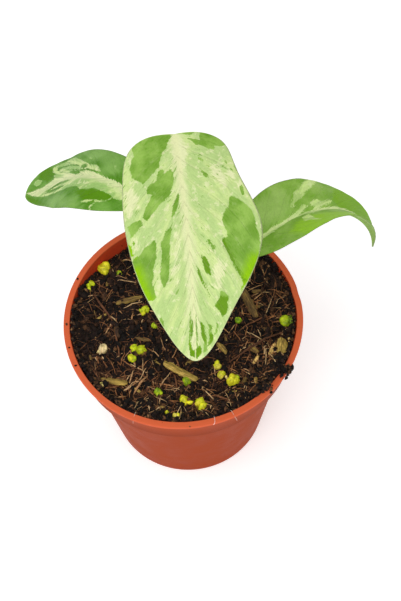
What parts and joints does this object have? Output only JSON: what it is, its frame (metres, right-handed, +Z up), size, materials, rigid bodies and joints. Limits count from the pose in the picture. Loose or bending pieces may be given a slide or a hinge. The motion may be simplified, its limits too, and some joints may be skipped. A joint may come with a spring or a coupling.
{
  "type": "potted young monstera",
  "caption": "Young variegated monstera with entire, arching leaves on slim stalks, growing in bark-flecked soil in a small round terracotta-coloured nursery pot.",
  "frame": {"origin": "centre of the pot's foot, on the surface that the pot stands on", "axes": "+Z up along the pot's axis, -Y towards the plant's front, where the tip of the centre leaf points, +X to the right seen from the front"},
  "size_m": [0.127, 0.0983, 0.1731],
  "materials": {
    "pot": "matt moulded plastic",
    "soil": "moist peat with bark and granules",
    "stem": "smooth green plant skin",
    "leaf_pale": "satin leaf skin, cream and mint with green patches",
    "leaf_green": "satin leaf skin, green with cream streaks"
  },
  "bodies": {
    "root": {"pot": "pot", "soil": "soil", "stem": "stem", "leaf_centre": "leaf_pale", "leaf_left": "leaf_green", "leaf_right": "leaf_green"}
  },
  "joints": []
}
